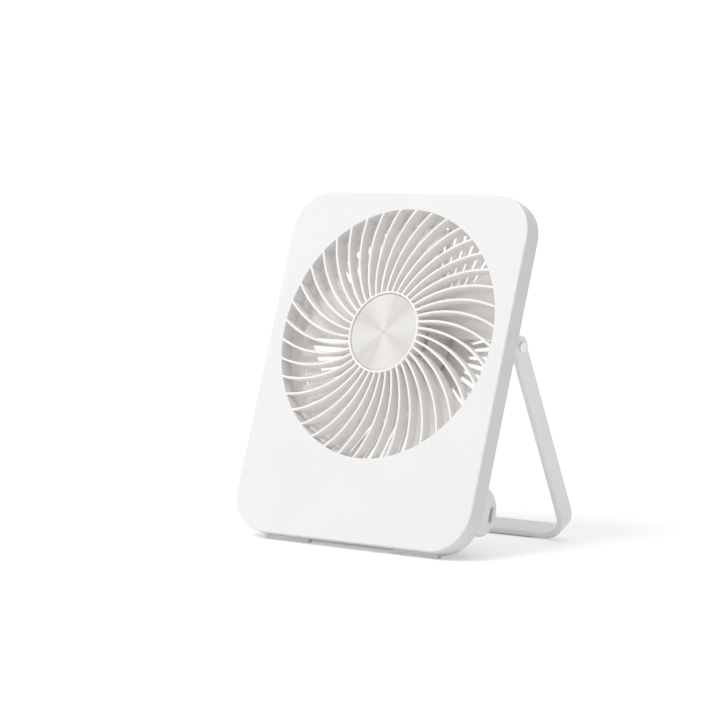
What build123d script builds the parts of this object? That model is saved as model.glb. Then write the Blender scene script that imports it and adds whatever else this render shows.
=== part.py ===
from build123d import *
import math
import os

os.makedirs("parts", exist_ok=True)

# Slab: the front cover's face and skirt, and how far the whole slab leans back (mm, degrees).
slab_width = 160.6
slab_height = 198.0
slab_depth = 11.6
corner_radius = 23.0
face_wall = 2.0
skirt_wall = 2.0
face_edge_bevel = 0.7
lean_angle = 18.5

# Spiral grille: fins from the hub ring to the rim of the opening, which is as wide as the slab has room for
# beside its margins and above the panel that the barrel is behind.
side_margin = 9.3
top_margin = 9.5
low_panel = 46.5
opening_radius = min(slab_width / 2 - side_margin, (slab_height - top_margin - low_panel) / 2)
fan_height = slab_height - top_margin - opening_radius
duct_wall = 1.6
duct_gap = 0.2
fin_count = 40
fin_width = 1.25
fin_back = 6.5
fin_root_radius = 22.7
fin_root_angle = 0.55
fin_mid_inset = 24.0
fin_mid_radius = opening_radius - fin_mid_inset
fin_mid_angle = 10.2
fin_end_sink = 0.5
fin_end_radius = opening_radius + fin_end_sink
fin_end_angle = 21.5
cone_rise = 2.0
hub_radius = 23.3
hub_inner_radius = 22.1
hub_rise = 2.3
hub_floor_front = -0.7
hub_floor_back = 1.1
disc_radius = 21.95
disc_thickness = 0.8
disc_bevel = 0.35

# Rear cover: plate inside the skirt, tapered drum, slotted cone down to a flat floor, hinge lugs.
rear_wall = 2.0
plate_gap = 0.2
drum_front_radius = opening_radius
drum_taper = 1.2
drum_rear_radius = drum_front_radius - drum_taper
drum_wall = 1.8
cone_front = 16.0
drum_floor = 30.5
floor_radius = 35.0
slot_count = 60
slot_floor_margin = 2.0
slot_drum_margin = 1.8
slot_inner_radius = floor_radius + slot_floor_margin
slot_outer_radius = drum_rear_radius - slot_drum_margin
slot_half_angle = 1.5
lug_radius = 7.2
lug_thickness = 4.0

# Battery barrel across the lower back, and what sits inside it.
barrel_height = 28.0
barrel_depth = 22.5
barrel_radius = 13.5
barrel_wall = 1.8
barrel_inset = 8.3
barrel_half_length = slab_width / 2 - barrel_inset
barrel_end_wall = 2.0
barrel_end_bevel = 1.1
tab_inset = 22.0
tab_across = barrel_half_length - tab_inset
tab_reach = 17.0
tab_radius = 4.0
tab_thickness = 1.6
cell_radius = 9.2
cell_length = 65.0
cell_end_gap = 3.0
cell_left = barrel_end_wall + cell_end_gap - barrel_half_length
cell_depth = 24.0
cell_nub_radius = 3.0
cell_nub_length = 1.2
saddle_half_height = 4.0
saddle_top = 17.0
saddle_thickness = 3.0
saddle_insets = (13.0, 52.0)
saddle_places = [cell_left + inset for inset in saddle_insets]
saddle_clearance = 0.1
board_length = 39.6
board_end_gap = 0.4
board_right = barrel_half_length - barrel_end_wall - board_end_gap
board_left = board_right - board_length
board_half_height = 8.5
board_front = 28.0
board_thickness = 1.0
post_radius = 2.2
post_insets = (6.0, 28.0)
post_places = [board_left + inset for inset in post_insets]
socket_width = 8.94
socket_height = 3.26
socket_length = 7.4
socket_wall = 0.3
socket_recess = 0.5
socket_mouth = barrel_half_length - socket_recess
socket_pocket = 6.4
tongue_width = 6.7
tongue_height = 0.7
tongue_setback = 1.2
socket_hole_clearance = 0.25

# Speed button on the barrel's back, over its switch.
button_inset = 17.0
button_across = board_left + button_inset
button_radius = 3.8
button_hole_clearance = 0.3
button_flange_radius = 4.8
button_flange_front = 32.5
button_flange_back = 33.05
button_back = 36.8
button_nub_radius = 1.5
button_nub_front = 32.3
button_edge_bevel = 0.5
switch_side = 6.0
switch_back = 31.2
plunger_radius = 1.6
plunger_back = 31.7

# Impeller and its outer-rotor motor; depths are behind the face.
impeller_hub_radius = 24.0
impeller_front = 8.5
impeller_plate_back = 10.05
impeller_skirt_back = 28.4
impeller_bore = 21.3
impeller_edge_bevel = 1.0
blade_count = 5
blade_phase = 67.0
blade_tip_gap = 3.3
blade_tip_radius = drum_rear_radius - blade_tip_gap
blade_front = 8.0
blade_wall_gap = 1.2
blade_middle = 13.75
blade_thickness = 1.8
blade_end_half = 0.35
blade_root_radius = 21.5
blade_overrun = 3.5
blade_radii = (blade_root_radius, blade_tip_radius + blade_overrun)
blade_chords = (15.0, 45.0)
blade_pitches = (30.0, 12.2)
blade_cambers = (1.2, 2.8)
blade_sweeps = (0.0, 4.0)
can_radius = 21.2
can_inner_radius = 20.2
can_front = 10.1
can_plate_back = 11.0
can_back = 28.2
can_boss_radius = 3.2
can_boss_back = 11.8
magnet_outer = 20.15
magnet_inner = 18.6
magnet_front = 14.2
magnet_back = 26.2
shaft_radius = 1.5
shaft_back = 30.2
press_gap = 0.02
running_gap = 0.05
tube_bore = 2.65
tube_radius = 4.5
tube_front = 12.0
base_radius = 18.0
base_front = 29.0
base_recess_radius = 3.6
base_recess_front = 29.6
front_bush = (12.2, 14.7)
rear_bush = (27.0, 29.5)
clip_front = 29.75
clip_back = 30.15
clip_radius = 3.0
clip_gap = 2.0
core_front = 16.2
core_back = 24.2
core_ring_radius = 8.0
core_bore_gap = 0.05
tooth_count = 9
tooth_width = 2.4
tooth_end = 17.0
shoe_inner = 16.2
shoe_outer = 18.2
shoe_slot = 1.8
coil_start = 9.0
coil_length = 6.2
coil_width = 4.6
coil_height = 10.6
coil_bevel = 0.9
coil_gap = 0.1
motor_board_outer = 17.4
motor_board_front = 27.85
motor_board_back = 28.65
motor_board_bore_gap = 0.3

# Screws: cover screws at the corners, motor screws, barrel screws, board screws.
cover_screw_inset = 12.3
cover_screw_drop = 12.0
cover_screw_low = 10.0
cover_boss_radius = 3.0
cover_screw_radius = 1.1
cover_screw_gap = 2.0
cover_head_radius = 2.2
cover_head_depth = 1.0
cover_hole_clearance = 0.25
head_side_clearance = 0.2
motor_screw_circle = 14.0
motor_screw_radius = 0.9
motor_screw_front = 29.3
motor_head_radius = 2.0
motor_head_front = 31.5
head_sink = 0.1
barrel_screw_radius = 0.93
barrel_screw_gap = 1.0
barrel_boss_radius = 2.8
barrel_boss_length = 4.5
barrel_head_radius = 1.9
barrel_head_height = 1.2
board_screw_radius = 0.8
board_screw_front = 21.0
board_head_radius = 1.5
board_head_height = 1.0
screw_hole_clearance = 0.22

# Stand: a U of flat strap on two pins, with its pad, and the feet under the slab.
pivot_height = 119.0
pivot_depth = 20.5
arm_inset = 3.3
arm_outer = slab_width / 2 - arm_inset
strap_thickness = 4.0
strap_half_width = 5.5
strap_bend_radius = 14.0
strap_edge_bevel = 0.6
stand_overhang = 2.0
stand_length = pivot_height + stand_overhang
eye_radius = 6.2
pin_radius = 1.5
pin_depth = 3.4
pin_head_radius = 2.6
pin_head_thickness = 1.0
pin_head_gap = 0.1
washer_radius = 5.0
washer_thickness = 0.45
washer_gap = 0.05
strap_gap = 0.1
pad_end_gap = 25.0
pad_half_length = arm_outer - pad_end_gap
pad_front = -4.6
pad_back = 0.6
pad_least = 0.8
foot_rise = 1.05
foot_inset = 36.3
foot_across = slab_width / 2 - foot_inset
foot_half_length = 15.0
foot_depth = 3.2
foot_edge_gap = 0.4
foot_back_depth = slab_depth - foot_edge_gap
foot_front_depth = foot_back_depth - foot_depth

# Where the slab stands: its leaning frame, and the stand's angle that puts the pad flat on the ground.
lean = math.radians(lean_angle)
lean_sin = math.sin(lean)
lean_cos = math.cos(lean)
face_normal = (0, -lean_cos, lean_sin)
slab_up = (0, lean_sin, lean_cos)
face_z = slab_depth * lean_sin + foot_rise
pivot_z = face_z + pivot_height * lean_cos - pivot_depth * lean_sin
pad_swing = math.hypot(stand_length + pad_least, pad_front)
stand_angle = math.atan2(-pad_front, stand_length + pad_least) + math.acos(pivot_z / pad_swing)
stand_sin = math.sin(stand_angle)
stand_cos = math.cos(stand_angle)
front_reach = face_edge_bevel * lean_sin
pivot_reach = pivot_height * lean_sin + pivot_depth * lean_cos
strap_corners = (
    (stand_length, strap_half_width - strap_edge_bevel),
    (stand_length - strap_edge_bevel, strap_half_width),
)
back_reach = pivot_reach + max(down * stand_sin + back * stand_cos for down, back in strap_corners)
face_y = -(front_reach + back_reach) / 2
pivot_y = face_y + pivot_reach


def slab_point(across: float, up: float, depth: float) -> tuple[float, float, float]:
    """World place of a point given across the slab, up it, and behind its face."""
    y = face_y + up * lean_sin + depth * lean_cos
    z = face_z + up * lean_cos - depth * lean_sin
    return (across, y, z)


def face_plane(across: float, up: float, depth: float) -> Plane:
    """Plane parallel to the face through that place, looking forwards."""
    return Plane(origin=slab_point(across, up, depth), x_dir=(1, 0, 0), z_dir=face_normal)


def side_plane(across: float) -> Plane:
    """Plane across the slab's width; x runs up the slab, y behind its face, the normal towards -X."""
    return Plane(origin=slab_point(across, 0, 0), x_dir=slab_up, z_dir=(-1, 0, 0))


def strap_side_plane(across: float) -> Plane:
    """Plane across the stand's width; x runs down the arm from the pivot, y rearwards, the normal to +X."""
    down = (0, stand_sin, -stand_cos)
    return Plane(origin=(across, pivot_y, pivot_z), x_dir=down, z_dir=(1, 0, 0))


def spiral_point(radius: float, angle: float) -> tuple[float, float]:
    """Point on the face seen from the front, its angle clockwise from the top."""
    turn = math.radians(angle)
    return (radius * math.sin(turn), radius * math.cos(turn))


def spoke_plane(angle: float, radius: float, depth: float) -> Plane:
    """Plane square to a spoke of the fan; x runs round the axis, y along it."""
    across, up = spiral_point(radius, angle)
    out = spiral_point(1, angle)
    spoke = (out[0], out[1] * lean_sin, out[1] * lean_cos)
    round_dir = (out[1], -out[0] * lean_sin, -out[0] * lean_cos)
    place = slab_point(across, fan_height + up, depth)
    return Plane(origin=place, x_dir=round_dir, z_dir=spoke)


fan_axis = Axis(slab_point(0, fan_height, 0), face_normal)
axial_plane = Plane(origin=slab_point(0, fan_height, 0), x_dir=(1, 0, 0), z_dir=slab_up)
stand_plane = Plane(
    origin=(0, pivot_y, pivot_z), x_dir=(1, 0, 0), z_dir=(0, -stand_cos, -stand_sin)
)
cover_screw_across = slab_width / 2 - cover_screw_inset
cover_bosses = [
    (x, up - slab_height / 2)
    for up in (slab_height - cover_screw_drop, cover_screw_low)
    for x in (cover_screw_across, -cover_screw_across)
]
tab_points = [(x, y) for x in (-tab_across, tab_across) for y in (-tab_reach, tab_reach)]
plate_front = slab_depth - rear_wall
duct_back = plate_front - duct_gap
cover_screw_front = face_wall + cover_screw_gap
cover_head_front = slab_depth - cover_head_depth
barrel_boss_front = plate_front - barrel_boss_length
barrel_screw_front = barrel_boss_front + barrel_screw_gap
lug_face = arm_outer - strap_thickness - strap_gap - washer_thickness - washer_gap
pin_inner_end = lug_face - pin_depth
board_back = board_front + board_thickness
socket_depth = board_back + socket_height / 2
cone_fall = cone_rise * duct_wall / (opening_radius - hub_inner_radius)
drum_back = drum_floor + rear_wall
cone_slope = (drum_floor - cone_front) / (drum_rear_radius - floor_radius)
cone_step = rear_wall * math.hypot(1, cone_slope)
cone_outer_front = cone_front + cone_step - cone_slope * drum_wall
floor_outer_radius = floor_radius + (cone_step - rear_wall) / cone_slope
blade_tip_back = cone_front + cone_slope * (drum_rear_radius - blade_tip_radius) - blade_wall_gap

# One fin, seen from the front: a constant-width band along an arc from the hub ring to the rim.
with BuildSketch() as fin_shape:
    with BuildLine():
        ThreePointArc(
            spiral_point(fin_root_radius, fin_root_angle),
            spiral_point(fin_mid_radius, fin_mid_angle),
            spiral_point(fin_end_radius, fin_end_angle),
        )
    trace(line_width=fin_width)

# All fins: the band repeated round the fan, its front edge on a cone that meets the face at the rim.
with BuildPart() as fins:
    with BuildSketch(face_plane(0, fan_height, fin_back)):
        with PolarLocations(0, fin_count):
            add(fin_shape.sketch)
    extrude(amount=fin_back + hub_rise)
    with BuildSketch(axial_plane):
        with BuildLine():
            Polyline(
                (hub_inner_radius, -cone_rise),
                (opening_radius + duct_wall, cone_fall),
                (opening_radius + duct_wall, -slab_depth),
                (hub_inner_radius, -slab_depth),
                close=True,
            )
        make_face()
    revolve(axis=fan_axis, mode=Mode.SUBTRACT)

with BuildPart() as front_cover:
    with BuildSketch(face_plane(0, slab_height / 2, 0)):
        RectangleRounded(slab_width, slab_height, corner_radius)
    extrude(amount=-slab_depth)
    front_face = front_cover.faces().sort_by(Axis(slab_point(0, 0, 0), face_normal))[-1]
    chamfer(front_face.edges(), face_edge_bevel)
    with BuildSketch(face_plane(0, slab_height / 2, face_wall)):
        RectangleRounded(
            slab_width - 2 * skirt_wall, slab_height - 2 * skirt_wall, corner_radius - skirt_wall
        )
    extrude(amount=-slab_depth, mode=Mode.SUBTRACT)
    with BuildSketch(face_plane(0, fan_height, 0)):
        Circle(opening_radius + duct_wall)
    extrude(amount=-duct_back)
    with BuildSketch(face_plane(0, fan_height, 0)):
        Circle(opening_radius)
    extrude(amount=-slab_depth, mode=Mode.SUBTRACT)
    with BuildSketch(face_plane(0, slab_height / 2, face_wall)):
        with Locations(*cover_bosses):
            Circle(cover_boss_radius)
            Circle(cover_screw_radius + press_gap, mode=Mode.SUBTRACT)
    extrude(amount=face_wall - plate_front)
    add(fins.part)
    with BuildSketch(axial_plane):
        with BuildLine():
            Polyline(
                (0, hub_floor_front),
                (hub_inner_radius, hub_floor_front),
                (hub_inner_radius, -hub_rise),
                (hub_radius, -hub_rise),
                (hub_radius, fin_back),
                (hub_inner_radius, fin_back),
                (hub_inner_radius, hub_floor_back),
                (0, hub_floor_back),
                close=True,
            )
        make_face()
    revolve(axis=fan_axis)
front_cover.part.label = "front_cover"
export_step(front_cover.part, "parts/front_cover.step")

with BuildPart() as hub_disc:
    with BuildSketch(axial_plane):
        with BuildLine():
            Polyline(
                (0, hub_floor_front),
                (disc_radius, hub_floor_front),
                (disc_radius, hub_floor_front - disc_thickness + disc_bevel),
                (disc_radius - disc_bevel, hub_floor_front - disc_thickness),
                (0, hub_floor_front - disc_thickness),
                close=True,
            )
        make_face()
    revolve(axis=fan_axis)
hub_disc.part.label = "hub_disc"
export_step(hub_disc.part, "parts/hub_disc.step")

# One slot of the rear cone, seen from the front: a long wedge between two radii.
with BuildSketch() as slot_shape:
    with BuildLine():
        Polyline(
            spiral_point(slot_inner_radius, -slot_half_angle),
            spiral_point(slot_outer_radius, -slot_half_angle),
            spiral_point(slot_outer_radius, slot_half_angle),
            spiral_point(slot_inner_radius, slot_half_angle),
            close=True,
        )
    make_face()

with BuildPart() as rear_cover:
    with BuildSketch(face_plane(0, slab_height / 2, slab_depth)):
        inset = skirt_wall + plate_gap
        RectangleRounded(slab_width - 2 * inset, slab_height - 2 * inset, corner_radius - inset)
    extrude(amount=rear_wall)
    with BuildSketch(axial_plane):
        with BuildLine():
            Polyline(
                (0, plate_front),
                (drum_front_radius + drum_wall, plate_front),
                (drum_rear_radius + drum_wall, cone_outer_front),
                (floor_outer_radius, drum_back),
                (0, drum_back),
                close=True,
            )
        make_face()
    revolve(axis=fan_axis)
    for face_at, reach in ((lug_face, lug_thickness), (-lug_face, -lug_thickness)):
        with BuildSketch(side_plane(face_at)):
            with Locations((pivot_height, pivot_depth)):
                Circle(lug_radius)
            with Locations((pivot_height, (plate_front + pivot_depth) / 2)):
                Rectangle(2 * lug_radius, pivot_depth - plate_front)
        extrude(amount=reach)
    with BuildSketch(axial_plane):
        with BuildLine():
            Polyline(
                (0, 0),
                (drum_front_radius, 0),
                (drum_front_radius, plate_front),
                (drum_rear_radius, cone_front),
                (floor_radius, drum_floor),
                (0, drum_floor),
                close=True,
            )
        make_face()
    revolve(axis=fan_axis, mode=Mode.SUBTRACT)
    with BuildSketch(face_plane(0, fan_height, drum_back + rear_wall)):
        with PolarLocations(0, slot_count):
            add(slot_shape.sketch)
    extrude(amount=drum_back + rear_wall - cone_front, mode=Mode.SUBTRACT)
    with BuildSketch(face_plane(0, fan_height, drum_back)):
        with PolarLocations(motor_screw_circle, 3):
            Circle(motor_screw_radius + screw_hole_clearance)
    extrude(amount=drum_back - drum_floor, mode=Mode.SUBTRACT)
    with BuildSketch(face_plane(0, fan_height, drum_back)):
        with PolarLocations(motor_screw_circle, 3):
            Circle(motor_head_radius + head_side_clearance)
    extrude(amount=drum_back - motor_head_front, mode=Mode.SUBTRACT)
    with BuildSketch(face_plane(0, slab_height / 2, slab_depth)):
        with Locations(*cover_bosses):
            Circle(cover_screw_radius + cover_hole_clearance)
    extrude(amount=rear_wall, mode=Mode.SUBTRACT)
    with BuildSketch(face_plane(0, slab_height / 2, slab_depth)):
        with Locations(*cover_bosses):
            Circle(cover_head_radius + head_side_clearance)
    extrude(amount=slab_depth - cover_head_front, mode=Mode.SUBTRACT)
    with BuildSketch(face_plane(0, barrel_height, plate_front)):
        with Locations(*tab_points):
            Circle(barrel_boss_radius)
    extrude(amount=plate_front - barrel_boss_front)
    with BuildSketch(face_plane(0, barrel_height, slab_depth)):
        with Locations(*tab_points):
            Circle(barrel_screw_radius + press_gap)
    extrude(amount=slab_depth - barrel_boss_front, mode=Mode.SUBTRACT)
    for place in saddle_places:
        with BuildSketch(face_plane(place, barrel_height, slab_depth)):
            Rectangle(saddle_thickness, 2 * saddle_half_height)
        extrude(amount=slab_depth - saddle_top)
        with BuildSketch(side_plane(place + saddle_thickness)):
            with Locations((barrel_height, cell_depth)):
                Circle(cell_radius + saddle_clearance)
        extrude(amount=2 * saddle_thickness, mode=Mode.SUBTRACT)
    for place in post_places:
        with BuildSketch(face_plane(place, barrel_height, slab_depth)):
            Circle(post_radius)
        extrude(amount=slab_depth - board_front)
        with BuildSketch(face_plane(place, barrel_height, board_front)):
            Circle(board_screw_radius + press_gap)
        extrude(amount=board_front - board_screw_front, mode=Mode.SUBTRACT)
    for face_at, reach in ((lug_face, lug_face - pin_inner_end), (-lug_face, pin_inner_end - lug_face)):
        with BuildSketch(side_plane(face_at)):
            with Locations((pivot_height, pivot_depth)):
                Circle(pin_radius + press_gap)
        extrude(amount=reach, mode=Mode.SUBTRACT)
rear_cover.part.label = "rear_cover"
export_step(rear_cover.part, "parts/rear_cover.step")

with BuildPart() as battery_cover:
    with BuildSketch(side_plane(barrel_half_length)):
        with Locations((barrel_height, barrel_depth)):
            Circle(barrel_radius)
    extrude(amount=2 * barrel_half_length)
    chamfer(battery_cover.edges().filter_by(GeomType.CIRCLE), barrel_end_bevel)
    with BuildSketch(face_plane(0, barrel_height, slab_depth)):
        Rectangle(3 * barrel_half_length, 3 * barrel_radius)
    extrude(amount=slab_depth, mode=Mode.SUBTRACT)
    with BuildSketch(face_plane(0, barrel_height, slab_depth)):
        with Locations((-tab_across, 0), (tab_across, 0)):
            SlotCenterToCenter(2 * tab_reach, 2 * tab_radius, rotation=90)
    extrude(amount=-tab_thickness)
    with BuildSketch(side_plane(barrel_half_length - barrel_end_wall)):
        with Locations((barrel_height, barrel_depth)):
            Circle(barrel_radius - barrel_wall)
    extrude(amount=2 * (barrel_half_length - barrel_end_wall), mode=Mode.SUBTRACT)
    with BuildSketch(face_plane(0, barrel_height, slab_depth)):
        with Locations(*tab_points):
            Circle(barrel_screw_radius + screw_hole_clearance)
    extrude(amount=-tab_thickness, mode=Mode.SUBTRACT)
    with BuildSketch(side_plane(barrel_half_length)):
        with Locations((barrel_height, socket_depth)):
            SlotOverall(socket_width + 2 * socket_hole_clearance, socket_height + 2 * socket_hole_clearance)
    extrude(amount=barrel_end_wall, mode=Mode.SUBTRACT)
    with BuildSketch(face_plane(button_across, barrel_height, barrel_depth + barrel_radius)):
        Circle(button_radius + button_hole_clearance)
    extrude(amount=2 * barrel_wall, mode=Mode.SUBTRACT)
battery_cover.part.label = "battery_cover"
export_step(battery_cover.part, "parts/battery_cover.step")

with BuildPart() as battery_cell:
    with BuildSketch(side_plane(cell_left)):
        with Locations((barrel_height, cell_depth)):
            Circle(cell_radius)
    extrude(amount=-cell_length)
    with BuildSketch(side_plane(cell_left + cell_length)):
        with Locations((barrel_height, cell_depth)):
            Circle(cell_nub_radius)
    extrude(amount=-cell_nub_length)
battery_cell.part.label = "battery_cell"
export_step(battery_cell.part, "parts/battery_cell.step")

with BuildPart() as control_board:
    with BuildSketch(face_plane((board_left + board_right) / 2, barrel_height, board_front)):
        Rectangle(board_right - board_left, 2 * board_half_height)
    extrude(amount=-board_thickness)
    for place in post_places:
        with BuildSketch(face_plane(place, barrel_height, board_front)):
            Circle(board_screw_radius + screw_hole_clearance)
        extrude(amount=-board_thickness, mode=Mode.SUBTRACT)
control_board.part.label = "control_board"
export_step(control_board.part, "parts/control_board.step")

with BuildPart() as usb_socket:
    with BuildSketch(side_plane(socket_mouth)):
        with Locations((barrel_height, socket_depth)):
            SlotOverall(socket_width, socket_height)
    extrude(amount=socket_length)
    with BuildSketch(side_plane(socket_mouth)):
        with Locations((barrel_height, socket_depth)):
            SlotOverall(socket_width - 2 * socket_wall, socket_height - 2 * socket_wall)
    extrude(amount=socket_pocket, mode=Mode.SUBTRACT)
usb_socket.part.label = "usb_socket"
export_step(usb_socket.part, "parts/usb_socket.step")

with BuildPart() as socket_tongue:
    with BuildSketch(side_plane(socket_mouth - tongue_setback)):
        with Locations((barrel_height, socket_depth)):
            Rectangle(tongue_width, tongue_height)
    extrude(amount=socket_pocket - tongue_setback)
socket_tongue.part.label = "socket_tongue"
export_step(socket_tongue.part, "parts/socket_tongue.step")

with BuildPart() as button_switch:
    with BuildSketch(face_plane(button_across, barrel_height, board_back)):
        Rectangle(switch_side, switch_side)
    extrude(amount=board_back - switch_back)
    with BuildSketch(face_plane(button_across, barrel_height, switch_back)):
        Circle(plunger_radius)
    extrude(amount=switch_back - plunger_back)
button_switch.part.label = "button_switch"
export_step(button_switch.part, "parts/button_switch.step")

with BuildPart() as speed_button:
    with BuildSketch(face_plane(button_across, barrel_height, button_flange_back)):
        Circle(button_radius)
    extrude(amount=button_flange_back - button_back)
    cap_face = speed_button.faces().sort_by(Axis(slab_point(0, 0, 0), face_normal))[0]
    chamfer(cap_face.edges(), button_edge_bevel)
    with BuildSketch(face_plane(button_across, barrel_height, button_flange_back)):
        Circle(button_flange_radius)
    extrude(amount=button_flange_back - button_flange_front)
    with BuildSketch(face_plane(button_across, barrel_height, button_flange_front)):
        Circle(button_nub_radius)
    extrude(amount=button_flange_front - button_nub_front)
speed_button.part.label = "speed_button"
export_step(speed_button.part, "parts/speed_button.step")

# One blade: thin cambered sections square to a spoke, joined, and trimmed to clear the drum and cone.
blade_planes = []
for radius, pitch in zip(blade_radii, blade_pitches):
    spoke = spoke_plane(blade_phase, radius, blade_middle)
    blade_planes.append(spoke.rotated((0, 0, pitch)))

with BuildPart() as blade:
    for plane, chord, camber, sweep_by in zip(blade_planes, blade_chords, blade_cambers, blade_sweeps):
        with BuildSketch(plane):
            with BuildLine():
                upper = ThreePointArc(
                    (sweep_by - chord / 2, blade_end_half),
                    (sweep_by, camber + blade_thickness / 2),
                    (sweep_by + chord / 2, blade_end_half),
                )
                lower = ThreePointArc(
                    (sweep_by - chord / 2, -blade_end_half),
                    (sweep_by, camber - blade_thickness / 2),
                    (sweep_by + chord / 2, -blade_end_half),
                )
                Line(upper @ 0, lower @ 0)
                Line(upper @ 1, lower @ 1)
            make_face()
    loft(ruled=True)
    with BuildSketch(axial_plane):
        with BuildLine():
            Polyline(
                (0, blade_front),
                (blade_tip_radius, blade_front),
                (blade_tip_radius, blade_tip_back),
                (floor_radius, drum_floor - blade_wall_gap),
                (0, drum_floor - blade_wall_gap),
                close=True,
            )
        make_face()
    revolve(axis=fan_axis, mode=Mode.INTERSECT)

with BuildPart() as impeller:
    for index in range(blade_count):
        add(blade.part.rotate(fan_axis, index * 360 / blade_count))
    with BuildSketch(axial_plane):
        with BuildLine():
            Polyline(
                (0, impeller_front),
                (impeller_hub_radius - impeller_edge_bevel, impeller_front),
                (impeller_hub_radius, impeller_front + impeller_edge_bevel),
                (impeller_hub_radius, impeller_skirt_back),
                (0, impeller_skirt_back),
                close=True,
            )
        make_face()
    revolve(axis=fan_axis)
    with BuildSketch(face_plane(0, fan_height, impeller_plate_back)):
        Circle(impeller_bore)
    extrude(amount=impeller_plate_back - drum_floor, mode=Mode.SUBTRACT)
impeller.part.label = "impeller"
export_step(impeller.part, "parts/impeller.step")

with BuildPart() as rotor_can:
    with BuildSketch(axial_plane):
        with BuildLine():
            Polyline(
                (shaft_radius + press_gap, can_front),
                (can_radius, can_front),
                (can_radius, can_back),
                (can_inner_radius, can_back),
                (can_inner_radius, can_plate_back),
                (can_boss_radius, can_plate_back),
                (can_boss_radius, can_boss_back),
                (shaft_radius + press_gap, can_boss_back),
                close=True,
            )
        make_face()
    revolve(axis=fan_axis)
rotor_can.part.label = "rotor_can"
export_step(rotor_can.part, "parts/rotor_can.step")

with BuildPart() as rotor_magnet:
    with BuildSketch(face_plane(0, fan_height, magnet_front)):
        Circle(magnet_outer)
        Circle(magnet_inner, mode=Mode.SUBTRACT)
    extrude(amount=magnet_front - magnet_back)
rotor_magnet.part.label = "rotor_magnet"
export_step(rotor_magnet.part, "parts/rotor_magnet.step")

with BuildPart() as motor_shaft:
    with BuildSketch(face_plane(0, fan_height, can_front)):
        Circle(shaft_radius)
    extrude(amount=can_front - shaft_back)
motor_shaft.part.label = "motor_shaft"
export_step(motor_shaft.part, "parts/motor_shaft.step")

with BuildPart() as shaft_clip:
    with BuildSketch(face_plane(0, fan_height, clip_front)):
        Circle(clip_radius)
        Circle(shaft_radius + press_gap, mode=Mode.SUBTRACT)
        with Locations((clip_radius, 0)):
            Rectangle(2 * clip_radius, clip_gap, mode=Mode.SUBTRACT)
    extrude(amount=clip_front - clip_back)
shaft_clip.part.label = "shaft_clip"
export_step(shaft_clip.part, "parts/shaft_clip.step")

with BuildPart() as motor_base:
    with BuildSketch(axial_plane):
        with BuildLine():
            Polyline(
                (tube_bore, tube_front),
                (tube_radius, tube_front),
                (tube_radius, base_front),
                (base_radius, base_front),
                (base_radius, drum_floor),
                (base_recess_radius, drum_floor),
                (base_recess_radius, base_recess_front),
                (tube_bore, base_recess_front),
                close=True,
            )
        make_face()
    revolve(axis=fan_axis)
    with BuildSketch(face_plane(0, fan_height, drum_floor)):
        with PolarLocations(motor_screw_circle, 3):
            Circle(motor_screw_radius + press_gap)
    extrude(amount=drum_floor - base_front, mode=Mode.SUBTRACT)
motor_base.part.label = "motor_base"
export_step(motor_base.part, "parts/motor_base.step")

with BuildPart() as bearing_bushes:
    for bush_front, bush_back in (front_bush, rear_bush):
        with BuildSketch(face_plane(0, fan_height, bush_front)):
            Circle(tube_bore - press_gap)
            Circle(shaft_radius + running_gap, mode=Mode.SUBTRACT)
        extrude(amount=bush_front - bush_back)
bearing_bushes.part.label = "bearing_bushes"
export_step(bearing_bushes.part, "parts/bearing_bushes.step")

with BuildPart() as stator_core:
    with BuildSketch(face_plane(0, fan_height, core_front)):
        Circle(shoe_outer)
        Circle(shoe_inner, mode=Mode.SUBTRACT)
        with PolarLocations(shoe_outer, tooth_count, start_angle=90 + 180 / tooth_count):
            Rectangle(2 * (shoe_outer - shoe_inner) + shoe_slot, shoe_slot, mode=Mode.SUBTRACT)
        with PolarLocations((core_ring_radius + tooth_end) / 2, tooth_count, start_angle=90):
            Rectangle(tooth_end - core_ring_radius + tooth_width, tooth_width)
        Circle(core_ring_radius)
        Circle(tube_radius + core_bore_gap, mode=Mode.SUBTRACT)
    extrude(amount=core_front - core_back)
stator_core.part.label = "stator_core"
export_step(stator_core.part, "parts/stator_core.step")

with BuildPart() as stator_coils:
    for index in range(tooth_count):
        turn = index * 360 / tooth_count
        with BuildSketch(spoke_plane(turn, coil_start, (core_front + core_back) / 2)):
            outline = Rectangle(coil_width, coil_height)
            chamfer(outline.vertices(), coil_bevel)
            Rectangle(
                tooth_width + 2 * coil_gap, core_back - core_front + 2 * coil_gap, mode=Mode.SUBTRACT
            )
        extrude(amount=coil_length)
stator_coils.part.label = "stator_coils"
export_step(stator_coils.part, "parts/stator_coils.step")

with BuildPart() as motor_board:
    with BuildSketch(face_plane(0, fan_height, motor_board_front)):
        Circle(motor_board_outer)
        Circle(tube_radius + motor_board_bore_gap, mode=Mode.SUBTRACT)
    extrude(amount=motor_board_front - motor_board_back)
motor_board.part.label = "motor_board"
export_step(motor_board.part, "parts/motor_board.step")

with BuildPart() as motor_screws:
    with BuildSketch(face_plane(0, fan_height, motor_head_front)):
        with PolarLocations(motor_screw_circle, 3):
            Circle(motor_head_radius)
    extrude(amount=motor_head_front - drum_back + head_sink)
    with BuildSketch(face_plane(0, fan_height, motor_head_front)):
        with PolarLocations(motor_screw_circle, 3):
            Circle(motor_screw_radius)
    extrude(amount=motor_head_front - motor_screw_front)
motor_screws.part.label = "motor_screws"
export_step(motor_screws.part, "parts/motor_screws.step")

with BuildPart() as cover_screws:
    with BuildSketch(face_plane(0, slab_height / 2, cover_head_front)):
        with Locations(*cover_bosses):
            Circle(cover_head_radius)
    extrude(amount=cover_head_front - slab_depth + head_sink)
    with BuildSketch(face_plane(0, slab_height / 2, cover_head_front)):
        with Locations(*cover_bosses):
            Circle(cover_screw_radius)
    extrude(amount=cover_head_front - cover_screw_front)
cover_screws.part.label = "cover_screws"
export_step(cover_screws.part, "parts/cover_screws.step")

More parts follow.
